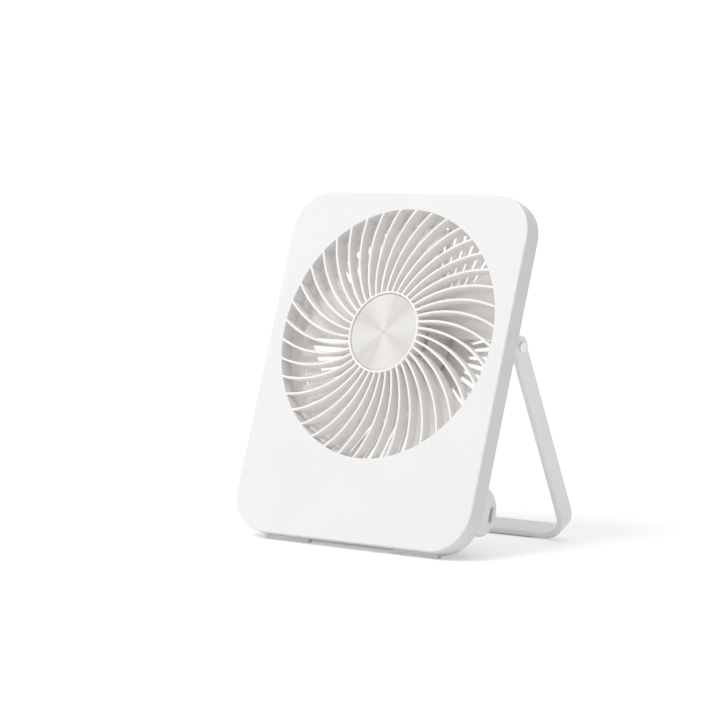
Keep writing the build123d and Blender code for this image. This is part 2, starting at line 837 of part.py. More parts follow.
with BuildPart() as battery_cover_screws:
    with BuildSketch(face_plane(0, barrel_height, slab_depth + tab_thickness)):
        with Locations(*tab_points):
            Circle(barrel_head_radius)
    extrude(amount=-barrel_head_height)
    with BuildSketch(face_plane(0, barrel_height, slab_depth + tab_thickness)):
        with Locations(*tab_points):
            Circle(barrel_screw_radius)
    extrude(amount=slab_depth + tab_thickness - barrel_screw_front)
battery_cover_screws.part.label = "battery_cover_screws"
export_step(battery_cover_screws.part, "parts/battery_cover_screws.step")

with BuildPart() as board_screws:
    for place in post_places:
        with BuildSketch(face_plane(place, barrel_height, board_back)):
            Circle(board_head_radius)
        extrude(amount=-board_head_height)
        with BuildSketch(face_plane(place, barrel_height, board_back)):
            Circle(board_screw_radius)
        extrude(amount=board_back - board_screw_front - board_thickness)
board_screws.part.label = "board_screws"
export_step(board_screws.part, "parts/board_screws.step")

with BuildPart() as stand:
    with BuildSketch(stand_plane):
        with BuildLine():
            middle = arm_outer - strap_thickness / 2
            low = strap_thickness / 2 - stand_length
            FilletPolyline(
                (-middle, 0), (-middle, low), (middle, low), (middle, 0), radius=strap_bend_radius
            )
        trace(line_width=strap_thickness)
    extrude(amount=strap_half_width, both=True)
    across_strap = Axis((0, pivot_y, pivot_z), (0, stand_cos, stand_sin))
    strap_faces = stand.faces().sort_by(across_strap)
    long_edges = strap_faces[0].edges() + strap_faces[-1].edges()
    top_edges = long_edges.sort_by(Axis((0, pivot_y, pivot_z), (0, -stand_sin, stand_cos)))[-4:]
    chamfer(long_edges - top_edges, strap_edge_bevel)
    for face_at in (-arm_outer, arm_outer - strap_thickness):
        with BuildSketch(strap_side_plane(face_at)):
            Circle(eye_radius)
        extrude(amount=strap_thickness)
        with BuildSketch(strap_side_plane(face_at)):
            Circle(pin_radius + running_gap)
        extrude(amount=strap_thickness, mode=Mode.SUBTRACT)
stand.part.label = "stand"
export_step(stand.part, "parts/stand.step")

with BuildPart() as stand_pad:
    pad_deep_front = (pivot_z + pad_front * stand_sin) / stand_cos
    pad_deep_back = (pivot_z + pad_back * stand_sin) / stand_cos
    with BuildSketch(strap_side_plane(-pad_half_length)):
        with BuildLine():
            Polyline(
                (stand_length, pad_front),
                (pad_deep_front, pad_front),
                (pad_deep_back, pad_back),
                (stand_length, pad_back),
                close=True,
            )
        make_face()
    extrude(amount=2 * pad_half_length)
stand_pad.part.label = "stand_pad"
export_step(stand_pad.part, "parts/stand_pad.step")

with BuildPart() as base_feet:
    foot_low_front = (foot_front_depth * lean_sin - face_z) / lean_cos
    foot_low_back = (foot_back_depth * lean_sin - face_z) / lean_cos
    for place in (-foot_across, foot_across):
        with BuildSketch(side_plane(place)):
            with BuildLine():
                Polyline(
                    (0, foot_front_depth),
                    (0, foot_back_depth),
                    (foot_low_back, foot_back_depth),
                    (foot_low_front, foot_front_depth),
                    close=True,
                )
            make_face()
        extrude(amount=foot_half_length, both=True)
base_feet.part.label = "base_feet"
export_step(base_feet.part, "parts/base_feet.step")

with BuildPart() as hinge_pins:
    for head_at, away in ((arm_outer + pin_head_gap, -1), (-arm_outer - pin_head_gap, 1)):
        with BuildSketch(side_plane(head_at)):
            with Locations((pivot_height, pivot_depth)):
                Circle(pin_head_radius)
        extrude(amount=away * pin_head_thickness)
        with BuildSketch(side_plane(head_at)):
            with Locations((pivot_height, pivot_depth)):
                Circle(pin_radius)
        extrude(amount=-away * (arm_outer + pin_head_gap - pin_inner_end - press_gap))
hinge_pins.part.label = "hinge_pins"
export_step(hinge_pins.part, "parts/hinge_pins.step")

with BuildPart() as hinge_washers:
    for face_at, away in ((lug_face + washer_gap, -1), (-lug_face - washer_gap, 1)):
        with BuildSketch(side_plane(face_at)):
            with Locations((pivot_height, pivot_depth)):
                Circle(washer_radius)
                Circle(pin_radius + running_gap, mode=Mode.SUBTRACT)
        extrude(amount=away * washer_thickness)
hinge_washers.part.label = "hinge_washers"
export_step(hinge_washers.part, "parts/hinge_washers.step")
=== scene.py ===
"""Dresses the folding desk fan: smooth mouldings, turned metal, plated screws, a plain studio."""
from __future__ import annotations

import logging
import math
from abc import ABC, abstractmethod
from dataclasses import dataclass
from enum import Enum
from functools import cache

import bmesh
import bpy
import numpy as np
from mathutils import Matrix, Quaternion, Vector

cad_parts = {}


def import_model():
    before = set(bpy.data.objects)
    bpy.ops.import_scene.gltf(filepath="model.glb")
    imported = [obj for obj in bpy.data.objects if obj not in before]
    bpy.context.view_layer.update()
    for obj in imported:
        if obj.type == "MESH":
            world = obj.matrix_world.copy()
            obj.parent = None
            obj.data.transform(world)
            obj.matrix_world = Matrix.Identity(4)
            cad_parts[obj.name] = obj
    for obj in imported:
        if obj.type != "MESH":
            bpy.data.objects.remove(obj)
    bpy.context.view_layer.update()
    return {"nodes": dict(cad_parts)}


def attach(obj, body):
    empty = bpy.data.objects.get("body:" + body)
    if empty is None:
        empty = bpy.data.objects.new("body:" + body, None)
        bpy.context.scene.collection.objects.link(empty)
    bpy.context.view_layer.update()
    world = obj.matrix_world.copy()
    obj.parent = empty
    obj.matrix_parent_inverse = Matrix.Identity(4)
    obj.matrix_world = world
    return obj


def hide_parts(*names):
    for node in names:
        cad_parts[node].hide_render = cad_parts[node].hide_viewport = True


log = logging.getLogger("desk_fan")
MM = 0.001
FULL_TURN = 2 * math.pi
MERGE_WITHIN = 1e-7  # points nearer than this become one (metres)
FLAT_WITHIN = 1e-8  # edges shorter than this are taken out (metres)
NOISE_SPAN = (0.3, 0.7)  # part of a noise's range that is spread over a finish's values

Colour = tuple[float, float, float]
Point = tuple[float, float, float]
Numbers = np.ndarray | float
Material = bpy.types.Material
Piece = bpy.types.Object
Socket = bpy.types.NodeSocket


class Body(Enum):
    """Rigid bodies of the fan that a piece can ride on."""

    HOUSING = "housing"
    ROTOR = "rotor"
    BAIL = "bail"
    BUTTON = "button"


class Slot(Enum):
    """Material slots of the record, listed beside the smooth copies."""

    FACE = "white_face"
    BACK = "white_back"
    FAN = "fan_plastic"
    STAND = "stand_plastic"
    STEEL = "steel"
    BUTTON = "button_plastic"


@dataclass(frozen=True)
class SlabFrame:
    """The leaning slab's own frame, in metres: across it, up it and behind its face."""

    lean: float = math.radians(18.5)
    face_y: float = -58.011168 * MM
    face_z: float = 4.730734 * MM
    fan_up: float = 117.5 * MM

    def place(self, across: Numbers, up: Numbers, depth: Numbers) -> np.ndarray:
        """Slab places as world points, with the sine and cosine of the lean.

        y = face_y + up sin + depth cos, z = face_z + up cos - depth sin.

        Args:
            across: distance to the right of the slab's middle.
            up: distance up the slab from its lower edge.
            depth: distance behind the face.

        Returns:
            Points with a last axis of three.
        """
        across, up, depth = np.broadcast_arrays(across, up, depth)
        y = self.face_y + up * math.sin(self.lean) + depth * math.cos(self.lean)
        z = self.face_z + up * math.cos(self.lean) - depth * math.sin(self.lean)
        return np.stack([across, y, z], axis=-1)

    def round_fan(self, radius: Numbers, turn: Numbers, depth: Numbers) -> np.ndarray:
        """Points about the axis: across = radius sin(turn), up = fan_up + radius cos(turn)."""
        return self.place(radius * np.sin(turn), self.fan_up + radius * np.cos(turn), depth)

    def normal(self) -> Vector:
        """Direction out of the face."""
        return Vector((0.0, -math.cos(self.lean), math.sin(self.lean)))

    def in_face(self, turn: float) -> Vector:
        """Direction in the face, from the right to the top: cos(turn) across + sin(turn) up."""
        rise = math.sin(turn)
        return Vector((math.cos(turn), rise * math.sin(self.lean), rise * math.cos(self.lean)))

    def fan_centre(self) -> Vector:
        """Point of the fan's axis on the face."""
        return Vector(self.place(0.0, self.fan_up, 0.0).tolist())


SLAB = SlabFrame()


@dataclass(frozen=True)
class ArcThrough:
    """Circle through three points of a plane, walked from the first to the last."""

    marks: np.ndarray

    def centre(self) -> tuple[np.ndarray, float]:
        """Centre and radius: the centre is as far from the first point as from the other two.

        Returns:
            The centre's two coordinates and the radius.
        """
        first, others = self.marks[0], self.marks[1:]
        squares = (others**2).sum(axis=-1) - (first**2).sum()
        middle = np.linalg.solve(2.0 * (others - first), squares)
        return middle, float(np.linalg.norm(first - middle))

    def walk(self, steps: int) -> np.ndarray:
        """Evenly spaced points: centre + radius (cos, sin), the angle even from first to last.

        Args:
            steps: number of points.

        Returns:
            Points as (steps, 2).
        """
        middle, radius = self.centre()
        away = self.marks - middle
        angles = np.unwrap(np.arctan2(away[:, 1], away[:, 0]))
        turn = np.linspace(angles[0], angles[-1], steps)
        return middle + radius * np.stack([np.cos(turn), np.sin(turn)], axis=-1)


def quarter(radius: float, steps: int) -> tuple[np.ndarray, np.ndarray]:
    """Quarter circle from (0, radius) to (radius, 0): radius (1 - cos a, 1 - sin a) as two rows.

    Args:
        radius: rounding radius.
        steps: number of points.

    Returns:
        How far each point has gone along, and how far it still has to go.
    """
    angle = np.linspace(0.0, math.pi / 2, steps)
    return radius * (1.0 - np.cos(angle)), radius * (1.0 - np.sin(angle))


def rounded_section(width: float, height: float, radius: float, steps: int) -> np.ndarray:
    """Outline of a round-cornered rectangle: corner centre + radius (cos, sin) for each quarter.

    Args:
        width: size along the first axis.
        height: size along the second axis.
        radius: corner radius.
        steps: points on each corner.

    Returns:
        Points as (4 steps, 2), anticlockwise.
    """
    corner = np.repeat(np.arange(4), steps)
    angle = corner * math.pi / 2 + np.tile(np.linspace(0.0, math.pi / 2, steps), 4)
    side = np.array([[1, 1], [-1, 1], [-1, -1], [1, -1]])[corner]
    centre = side * np.array([width / 2 - radius, height / 2 - radius])
    return centre + radius * np.stack([np.cos(angle), np.sin(angle)], axis=-1)


def linked(name: str, data: bpy.types.ID) -> Piece:
    """Makes an object at the origin and links it to the scene.

    Args:
        name: the object's name.
        data: its mesh, lamp or camera.

    Returns:
        The new object.
    """
    made = bpy.data.objects.new(name, data)
    bpy.context.scene.collection.objects.link(made)
    return made


def finished(name: str, mesh: bpy.types.Mesh, sharp_degrees: float) -> Piece:
    """Merges a mesh's doubles, turns its faces outwards, smooths it and links it as an object.

    Args:
        name: the object's name.
        mesh: mesh to finish.
        sharp_degrees: angle above which an edge stays sharp.

    Returns:
        The new object, at the origin.
    """
    shell = bmesh.new()
    shell.from_mesh(mesh)
    bmesh.ops.remove_doubles(shell, verts=shell.verts, dist=MERGE_WITHIN)
    bmesh.ops.dissolve_degenerate(shell, edges=shell.edges, dist=FLAT_WITHIN)
    bmesh.ops.recalc_face_normals(shell, faces=shell.faces)
    shell.to_mesh(mesh)
    shell.free()
    mesh.shade_smooth()
    mesh.set_sharp_from_angle(angle=math.radians(sharp_degrees))
    return linked(name, mesh)


class SheetMesh:
    """Grids of points gathered as quads into one mesh."""

    def __init__(self) -> None:
        """Starts with no points."""
        self._points: list[np.ndarray] = []
        self._quads: list[np.ndarray] = []
        self._count = 0

    def add(
        self, grids: np.ndarray, close_rows: bool = False, close_columns: bool = True
    ) -> None:
        """Adds one grid of points, or a batch of equal ones.

        Args:
            grids: points as (rows, columns, 3) or (batch, rows, columns, 3).
            close_rows: whether the last row joins the first.
            close_columns: whether the last column joins the first.
        """
        batch = grids.reshape(-1, *grids.shape[-3:])
        count, rows, columns, _ = batch.shape
        index = np.arange(rows * columns).reshape(rows, columns)
        if close_rows:
            index = np.concatenate([index, index[:1]], axis=0)
        if close_columns:
            index = np.concatenate([index, index[:, :1]], axis=1)
        corners = [index[:-1, :-1], index[1:, :-1], index[1:, 1:], index[:-1, 1:]]
        quads = np.stack(corners, axis=-1).reshape(1, -1, 4)
        offsets = self._count + np.arange(count) * rows * columns
        self._quads.append((quads + offsets[:, None, None]).reshape(-1, 4))
        self._points.append(batch.reshape(-1, 3))
        self._count += count * rows * columns

    def add_capped(self, grids: np.ndarray) -> None:
        """Adds tubes whose two ends are drawn in to the middle of their last sections.

        Args:
            grids: points as (rows, columns, 3) or (batch, rows, columns, 3), each row closed.
        """
        ends = (grids[..., :1, :, :], grids[..., -1:, :, :])
        first, last = (np.broadcast_to(e.mean(axis=-2, keepdims=True), e.shape) for e in ends)
        self.add(np.concatenate([first, grids, last], axis=-3))

    def make(self, name: str, sharp_degrees: float = 35.0) -> Piece:
        """Turns what was gathered into an object, smooth between its sharp edges.

        Args:
            name: the object's name.
            sharp_degrees: angle above which an edge stays sharp.

        Returns:
            The new object, at the origin.
        """
        mesh = bpy.data.meshes.new(name)
        mesh.from_pydata(np.concatenate(self._points), [], np.concatenate(self._quads))
        return finished(name, mesh, sharp_degrees)


class NodeSheet:
    """A material's node tree with short ways to add and join nodes."""

    def __init__(self, name: str) -> None:
        """Makes an empty material with one surface shader.

        Args:
            name: the material's name.
        """
        self.material = bpy.data.materials.new(name)
        self.material.use_nodes = True
        self.tree = self.material.node_tree
        self.shader = self.tree.nodes["Principled BSDF"]

    def node(self, kind: str, **settings: object) -> bpy.types.Node:
        """Adds a node and sets its properties.

        Args:
            kind: Blender's name of the node type.
            settings: property values by name.

        Returns:
            The node.
        """
        made = self.tree.nodes.new(kind)
        for key, value in settings.items():
            setattr(made, key, value)
        return made

    def join(self, source: Socket, target: Socket) -> None:
        """Links an output to an input."""
        self.tree.links.new(source, target)

    def drive(self, socket: str, source: Socket) -> None:
        """Links an output to one of the shader's sockets, by name."""
        self.join(source, self.shader.inputs[socket])

    def fix(self, values: dict[str, float | tuple[float, ...]]) -> None:
        """Sets constants on the shader's own sockets, by name."""
        for socket, value in values.items():
            self.shader.inputs[socket].default_value = value

    def place(self) -> Socket:
        """Output with the piece's own coordinates, in metres."""
        return self.node("ShaderNodeTexCoord").outputs["Object"]

    def _operate(self, kind: str, operation: str, values: tuple[object, ...]) -> bpy.types.Node:
        """Adds an operation whose inputs are linked or set.

        Args:
            kind: Blender's name of the node type.
            operation: Blender's name of the operation.
            values: sockets or plain values, in order.

        Returns:
            The node.
        """
        made = self.node(kind, operation=operation)
        for socket, value in zip(made.inputs, values):
            if isinstance(value, Socket):
                self.join(value, socket)
            else:
                socket.default_value = value
        return made

    def vector(self, operation: str, *values: object) -> Socket:
        """Vector operation on sockets or plain vectors, as a vector."""
        return self._operate("ShaderNodeVectorMath", operation, values).outputs["Vector"]

    def measure(self, operation: str, *values: object) -> Socket:
        """Vector operation on sockets or plain vectors, as a number."""
        return self._operate("ShaderNodeVectorMath", operation, values).outputs["Value"]

    def number(self, operation: str, *values: object) -> Socket:
        """Number operation on sockets or plain numbers."""
        return self._operate("ShaderNodeMath", operation, values).outputs["Value"]

    def wave(self, run: Socket, pitch: float) -> Socket:
        """Waves from 0 to 1 along a distance: 0.5 + 0.5 sin(2 pi run / pitch)."""
        phase = self.number("MULTIPLY", run, FULL_TURN / pitch)
        return self.number("MULTIPLY_ADD", self.number("SINE", phase), 0.5, 0.5)

    def noise(self, scale: float, place: Socket | None = None) -> Socket:
        """Noise over the piece, as a number from 0 to 1.

        Args:
            scale: waves per metre, or per unit of the place.
            place: where it is read; the piece's own coordinates if nothing is given.

        Returns:
            The noise's socket.
        """
        made = self.node("ShaderNodeTexNoise")
        made.inputs["Scale"].default_value = scale
        self.join(place or self.place(), made.inputs["Vector"])
        return made.outputs[0]

    def spread(self, source: Socket, low: float = 0.0, high: float = 1.0) -> Socket:
        """Maps the middle span of a noise onto a range.

        Args:
            source: the noise.
            low: value at the bottom.
            high: value at the top.

        Returns:
            The mapped socket.
        """
        made = self.node("ShaderNodeMapRange")
        keys = ("From Min", "From Max", "To Min", "To Max")
        for key, value in zip(keys, (*NOISE_SPAN, low, high)):
            made.inputs[key].default_value = value
        self.join(source, made.inputs["Value"])
        return made.outputs[0]

    def colour(self, factor: Socket, first: Colour, second: Colour) -> None:
        """Drives the base colour between two colours.

        Args:
            factor: socket from 0 to 1.
            first: colour at 0.
            second: colour at 1.
        """
        made = self.node("ShaderNodeMix", data_type="RGBA")
        colours = [socket for socket in made.inputs if socket.type == "RGBA"]
        for socket, value in zip(colours, (first, second)):
            socket.default_value = (*value, 1.0)
        self.join(factor, made.inputs[0])
        self.drive("Base Color", next(s for s in made.outputs if s.type == "RGBA"))

    def bump(self, height: Socket, distance: float) -> None:
        """Drives the surface's bump.

        Args:
            height: height from 0 to 1.
            distance: height of 1, in metres.
        """
        made = self.node("ShaderNodeBump")
        made.inputs["Strength"].default_value = 1.0
        made.inputs["Distance"].default_value = distance
        self.join(height, made.inputs["Height"])
        self.drive("Normal", made.outputs["Normal"])


@dataclass(frozen=True)
class Finish(ABC):
    """A surface with a main colour and a second one that it drifts to."""

    name: str
    colour: Colour
    shade: Colour

    @abstractmethod
    def material(self) -> Material:
        """Builds the finish's material."""


@dataclass(frozen=True)
class GrainedFinish(Finish):
    """A surface whose tone and gloss drift slowly, with a fine grain."""

    roughness: tuple[float, float] = (0.42, 0.52)
    tone_per_metre: float = 35.0
    gloss_per_metre: float = 240.0
    grain_per_metre: float = 4200.0
    grain_depth: float = 0.004 * MM

    @abstractmethod
    def constants(self) -> dict[str, float]:
        """Values of the shader's sockets that are the same all over."""

    def material(self) -> Material:
        """Builds the material: tone and gloss follow two noises, the grain is noise as bump.

        Returns:
            The material.
        """
        sheet = NodeSheet(self.name)
        sheet.colour(sheet.spread(sheet.noise(self.tone_per_metre)), self.colour, self.shade)
        gloss = sheet.spread(sheet.noise(self.gloss_per_metre), *self.roughness)
        sheet.drive("Roughness", gloss)
        sheet.fix(self.constants())
        sheet.bump(sheet.noise(self.grain_per_metre), self.grain_depth)
        return sheet.material


@dataclass(frozen=True)
class MouldedFinish(GrainedFinish):
    """Moulded plastic or rubber with a spark-eroded grain."""

    specular: float = 0.4
    alpha: float = 1.0

    def constants(self) -> dict[str, float]:
        """Specular level and alpha."""
        return {"Specular IOR Level": self.specular, "Alpha": self.alpha}


@dataclass(frozen=True)
class MetalFinish(GrainedFinish):
    """Plated, sintered or cast metal with a fine uneven gloss."""

    roughness: tuple[float, float] = (0.22, 0.4)
    tone_per_metre: float = 420.0
    gloss_per_metre: float = 700.0
    grain_per_metre: float = 2500.0
    grain_depth: float = 0.002 * MM
    metallic: float = 1.0

    def constants(self) -> dict[str, float]:
        """How far it is metal."""
        return {"Metallic": self.metallic}


@dataclass(frozen=True)
class TurnedFinish(Finish):
    """Face-turned metal: fine rings about the fan's axis, gloss along them, and a fourfold painted
    highlight: four darker wedges painted into the colour.
    """

    ring_pitch: float = 0.28 * MM
    ring_depth: float = 0.0015 * MM
    ring_share: float = 0.3
    uneven_per_metre: float = 900.0
    uneven: tuple[float, float] = (0.4, 1.0)
    mark_radius: float = 1.2 * MM
    # painted highlight: turn, sharpness and streak noise of the four darker wedges painted into the
    # colour
    painted_sheen_turn: float = math.radians(16.0)
    painted_sheen_power: float = 1.4
    painted_spokes: float = 5.0
    painted_spoke_range: tuple[float, float] = (0.65, 1.3)
    roughness: float = 0.55
    anisotropy: float = 0.15
    metallic: float = 0.45

    def painted_sheen(self, sheet: NodeSheet, out: Socket, radius: Socket) -> Socket:
        """Painted highlight: four darker wedges, a power of 4 c (1 - c), c the squared cosine of
        the angle.

        Noise over the directions from the axis makes the painted wedges uneven, as streaks.

        Args:
            sheet: the material's nodes.
            out: place in the face from the axis.
            radius: its length.

        Returns:
            The socket of the painted wedges.
        """
        across = sheet.measure("DOT_PRODUCT", out, SLAB.in_face(self.painted_sheen_turn))
        cosine = sheet.number("DIVIDE", across, radius)
        square = sheet.number("MULTIPLY", cosine, cosine)
        painted_sectors = sheet.number("MULTIPLY", square, sheet.number("SUBTRACT", 1.0, square))
        painted_sectors = sheet.number("POWER", sheet.number("MULTIPLY", painted_sectors, 4.0), self.painted_sheen_power)
        painted_spoke = sheet.noise(self.painted_spokes, sheet.vector("NORMALIZE", out))
        return sheet.number("MULTIPLY", painted_sectors, sheet.spread(painted_spoke, *self.painted_spoke_range))

    def material(self) -> Material:
        """Builds the material: rings are waves of the distance from the axis, with a centre mark,
        and darker wedges painted as highlights.

        Returns:
            The material.
        """
        sheet = NodeSheet(self.name)
        away = sheet.vector("SUBTRACT", sheet.place(), SLAB.fan_centre())
        out = sheet.vector("SUBTRACT", away, sheet.vector("PROJECT", away, SLAB.normal()))
        radius = sheet.measure("LENGTH", out)
        rings = sheet.wave(radius, self.ring_pitch)
        uneven = sheet.spread(sheet.noise(self.uneven_per_metre), *self.uneven)
        mark = sheet.number("LESS_THAN", radius, self.mark_radius)
        height = sheet.number("SUBTRACT", sheet.number("MULTIPLY", rings, uneven), mark)
        sheet.bump(height, self.ring_depth)
        # the painted highlight wedges join the real rings in the colour's mix
        painted_sheen = sheet.number("MULTIPLY", self.painted_sheen(sheet, out, radius), 1.0 - self.ring_share)
        ring_and_painted_tone = sheet.number("MULTIPLY_ADD", rings, self.ring_share, painted_sheen)
        sheet.colour(sheet.number("MAXIMUM", ring_and_painted_tone, mark), self.colour, self.shade)
        along = sheet.vector("CROSS_PRODUCT", out, SLAB.normal())
        sheet.drive("Tangent", sheet.vector("NORMALIZE", along))
        sheet.fix({"Metallic": self.metallic, "Anisotropic": self.anisotropy})
        sheet.fix({"Roughness": self.roughness})
        return sheet.material


@dataclass(frozen=True)
class LayeredFinish(Finish):
    """Stripes along one axis, the second colour in their gaps: stacked sheets or windings."""

    along: Point
    pitch: float
    metallic: float
    depth: float = 0.04 * MM
    roughness: float = 0.4

    def material(self) -> Material:
        """Builds the material: height is a wave of the distance along the axis.

        Returns:
            The material.
        """
        sheet = NodeSheet(self.name)
        height = sheet.wave(sheet.measure("DOT_PRODUCT", sheet.place(), self.along), self.pitch)
        sheet.colour(height, self.shade, self.colour)
        sheet.fix({"Metallic": self.metallic, "Roughness": self.roughness})
        sheet.bump(height, self.depth)
        return sheet.material


@dataclass(frozen=True)
class BoardFinish(Finish):
    """Circuit board: solder mask, the second colour where it covers tracks."""

    pitch_per_metre: float = 420.0
    track_width: float = 0.12
    track_depth: float = 0.03 * MM
    roughness: float = 0.3

    def material(self) -> Material:
        """Builds the material: tracks lie along the edges of a blocky cell pattern.

        Returns:
            The material.
        """
        sheet = NodeSheet(self.name)
        pattern = {"distance": "MANHATTAN", "feature": "DISTANCE_TO_EDGE"}
        cells = sheet.node("ShaderNodeTexVoronoi", **pattern)
        cells.inputs["Scale"].default_value = self.pitch_per_metre
        sheet.join(sheet.place(), cells.inputs["Vector"])
        bare = sheet.number("GREATER_THAN", cells.outputs["Distance"], self.track_width)
        sheet.colour(bare, self.shade, self.colour)
        sheet.fix({"Roughness": self.roughness})
        sheet.bump(bare, self.track_depth)
        return sheet.material


@dataclass(frozen=True)
class FloorFinish(Finish):
    """Matte pale floor that glows a little to the camera and in reflections, and keeps a shadow."""

    tone_per_metre: float = 3.0
    roughness: float = 0.9
    specular: float = 0.1
    glow: float = 0.3

    def material(self) -> Material:
        """Builds the material: a slow drift of tone, and a glow that lights nothing.

        Returns:
            The material.
        """
        sheet = NodeSheet(self.name)
        sheet.fix({"Roughness": self.roughness, "Specular IOR Level": self.specular})
        sheet.colour(sheet.spread(sheet.noise(self.tone_per_metre)), self.colour, self.shade)
        ray = sheet.node("ShaderNodeLightPath").outputs
        shown = sheet.number("MAXIMUM", ray["Is Camera Ray"], ray["Is Glossy Ray"])
        shown = sheet.number("MAXIMUM", shown, ray["Is Transmission Ray"])
        sheet.fix({"Emission Color": (1.0, 1.0, 1.0, 1.0)})
        sheet.drive("Emission Strength", sheet.number("MULTIPLY", shown, self.glow))
        return sheet.material


class Look(Enum):
    """All finishes of the fan and the floor."""

    FACE = MouldedFinish(
        "face_white", (0.846, 0.842, 0.838), (0.834, 0.83, 0.826), specular=0.12
    )
    # painted light: same white moulding as the face, a lighter, warmer copy that lifts the shade on
    # the fins and hub ring inside the opening
    FIN_LIGHTENED = MouldedFinish("fin_white_lightened", (0.922, 0.902, 0.872), (0.912, 0.892, 0.862))
    # painted light: the white plastic lightened and warmed, standing in for light and warm bounce
    # on the rear cover and barrel where shade falls
    BACK = MouldedFinish("back_white_lightened", (0.97, 0.95, 0.915), (0.96, 0.94, 0.905))
    BLADE = MouldedFinish(
        "blade_clear", (0.96, 0.94, 0.905), (0.95, 0.93, 0.895), (0.3, 0.4), alpha=0.78
    )
    STRAP = MouldedFinish("strap_grey", (0.96, 0.96, 0.965), (0.95, 0.95, 0.955), (0.36, 0.46))
    KEY = MouldedFinish("button_grey", (0.72, 0.71, 0.69), (0.7, 0.69, 0.67), (0.3, 0.38))
    PALE_RUBBER = MouldedFinish(
        "foot_rubber", (0.92, 0.92, 0.91), (0.89, 0.89, 0.88), (0.7, 0.85),
        grain_per_metre=2600.0, grain_depth=0.02 * MM, specular=0.2,
    )
    TONGUE = MouldedFinish("socket_tongue", (0.7, 0.7, 0.69), (0.65, 0.65, 0.64), (0.4, 0.55))
    SWITCH = MouldedFinish("switch_black", (0.03, 0.03, 0.03), (0.05, 0.05, 0.05), (0.4, 0.55))
    SLEEVE = MouldedFinish("cell_sleeve", (0.1, 0.25, 0.5), (0.08, 0.21, 0.44), (0.18, 0.28))
    # second colour: the painted darker wedges that stand in for the turned face's highlights
    DISC = TurnedFinish("turned_disc", (0.772, 0.76, 0.732), (0.64, 0.617, 0.581))
    STEEL = MetalFinish("plated_steel", (0.68, 0.68, 0.68), (0.56, 0.56, 0.57))
    BRIGHT = MetalFinish("bright_plate", (0.9, 0.89, 0.87), (0.84, 0.83, 0.81), (0.28, 0.4))
    SOCKET = MetalFinish(
        "matt_plate", (0.93, 0.92, 0.9), (0.89, 0.88, 0.86), (0.4, 0.5), metallic=0.2
    )
    MAGNET = MetalFinish(
        "ferrite", (0.1, 0.1, 0.105), (0.07, 0.07, 0.075), (0.5, 0.7),
        grain_per_metre=1500.0, grain_depth=0.01 * MM,
    )
    BRONZE = MetalFinish(
        "sintered_bronze", (0.55, 0.36, 0.17), (0.46, 0.29, 0.13), (0.45, 0.6),
        grain_per_metre=3800.0, grain_depth=0.01 * MM,
    )
    CAST = MetalFinish(
        "cast_base", (0.6, 0.6, 0.6), (0.52, 0.52, 0.52), (0.4, 0.6),
        grain_per_metre=1800.0, grain_depth=0.02 * MM,
    )
    CORE = LayeredFinish(
        "core_sheets", (0.4, 0.4, 0.41), (0.16, 0.16, 0.17),
        along=tuple(SLAB.normal()), pitch=0.5 * MM, metallic=1.0,
    )
    WINDING = LayeredFinish(
        "winding", (0.62, 0.27, 0.11), (0.25, 0.09, 0.04),
        along=tuple(SLAB.normal()), pitch=0.45 * MM, metallic=0.8,
    )
    BOARD = BoardFinish("board_green", (0.02, 0.16, 0.07), (0.04, 0.26, 0.11))
    FLOOR = FloorFinish("studio_floor", (0.9, 0.9, 0.9), (0.8865, 0.8865, 0.8865))


@cache
def material_of(look: Look) -> Material:
    """The finish's material, built the first time it is asked for."""
    return look.value.material()


def ride(piece: Piece, body: Body, look: Look, node: str) -> None:
    """Gives a new piece its material and body, and hides the node that it stands for.

    Args:
        piece: the new piece.
        body: the body that it moves with.
        look: its finish.
        node: the solid that it stands for.
    """
    piece.data.materials.append(material_of(look))
    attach(piece, body.value)
    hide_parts(node)
    log.info("%s: %d faces for %s", piece.name, len(piece.data.polygons), node)


SOLID_LOOKS = {
    "hub_disc": Look.DISC,
    "stand_pad": Look.PALE_RUBBER,
    "base_feet": Look.PALE_RUBBER,
    "usb_socket": Look.SOCKET,
    "rotor_can": Look.STEEL,
    "motor_shaft": Look.STEEL,
    "shaft_clip": Look.STEEL,
    "board_screws": Look.STEEL,
    "hinge_pins": Look.BRIGHT,
    "hinge_washers": Look.STEEL,
    "rotor_magnet": Look.MAGNET,
    "bearing_bushes": Look.BRONZE,
    "motor_base": Look.CAST,
    "stator_core": Look.CORE,
    "stator_coils": Look.WINDING,
    "motor_board": Look.BOARD,
    "control_board": Look.BOARD,
    "battery_cell": Look.SLEEVE,
    "button_switch": Look.SWITCH,
    "socket_tongue": Look.TONGUE,
}


def dress_solid(piece: Piece, look: Look) -> None:
    """Puts a finish on a loaded solid.

    Args:
        piece: the solid's object.
        look: its finish.
    """
    for slot in piece.material_slots:
        slot.material = material_of(look)
    log.info("%s: solid in %s", piece.name, look.value.name)


